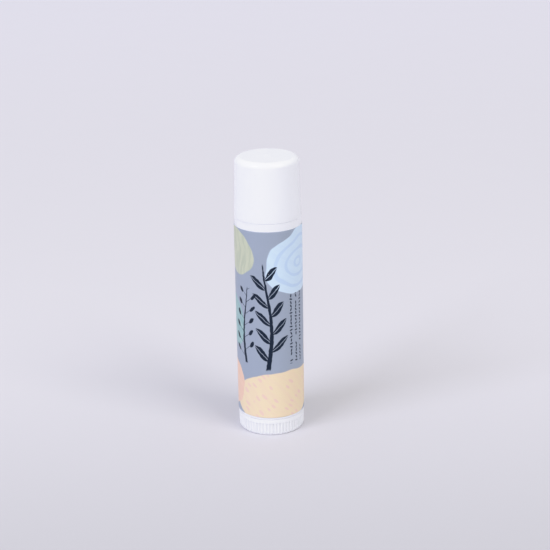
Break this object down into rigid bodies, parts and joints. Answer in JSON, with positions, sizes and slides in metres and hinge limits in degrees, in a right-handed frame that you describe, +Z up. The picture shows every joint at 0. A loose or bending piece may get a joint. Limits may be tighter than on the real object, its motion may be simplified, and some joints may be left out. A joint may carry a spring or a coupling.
{
  "type": "lip balm stick",
  "caption": "Slim twist-up lip balm stick: pull-off cap on a stepped barrel, wrapped label, ribbed thumbwheel with a screw that lifts the balm.",
  "frame": {"origin": "centre of the thumbwheel's foot on the surface that the stick stands on", "axes": "+Z up along the stick's axis towards the cap; +Y towards the label's seam at the back, -Y is the front"},
  "size_m": [0.016, 0.016, 0.0675],
  "materials": {
    "cap_plastic": "smooth white polypropylene with a soft sheen",
    "barrel_plastic": "smooth white polypropylene with a soft sheen",
    "wheel_plastic": "satin white polypropylene",
    "elevator_plastic": "satin natural white polypropylene",
    "balm": "waxy, pale yellow, slightly translucent",
    "label_film": null
  },
  "bodies": {
    "tube": {"barrel": "barrel_plastic", "wrap_label": "label_film"},
    "wheel": {"thumbwheel_screw": "wheel_plastic"},
    "carriage": {"elevator_cup": "elevator_plastic", "balm_stick": "balm"},
    "lid": {"cap": "cap_plastic"}
  },
  "joints": [
    {"name": "wheel_turn", "type": "hinge", "parent": "tube", "child": "wheel", "pos_m": [0, 0, 0.0059], "axis": [0, 0, 1], "range_deg": [0, 5400]},
    {"name": "balm_rise", "type": "slide", "parent": "tube", "child": "carriage", "axis": [0, 0, 1], "range_m": [0, 0.045]},
    {"name": "cap_pull", "type": "slide", "parent": "carriage", "child": "lid", "axis": [0, 0, 1], "range_m": [0, 0.02]}
  ],
  "couplings": [
    {"joint": "wheel_turn", "follows": "balm_rise", "rad_per_m": 2094.4}
  ]
}
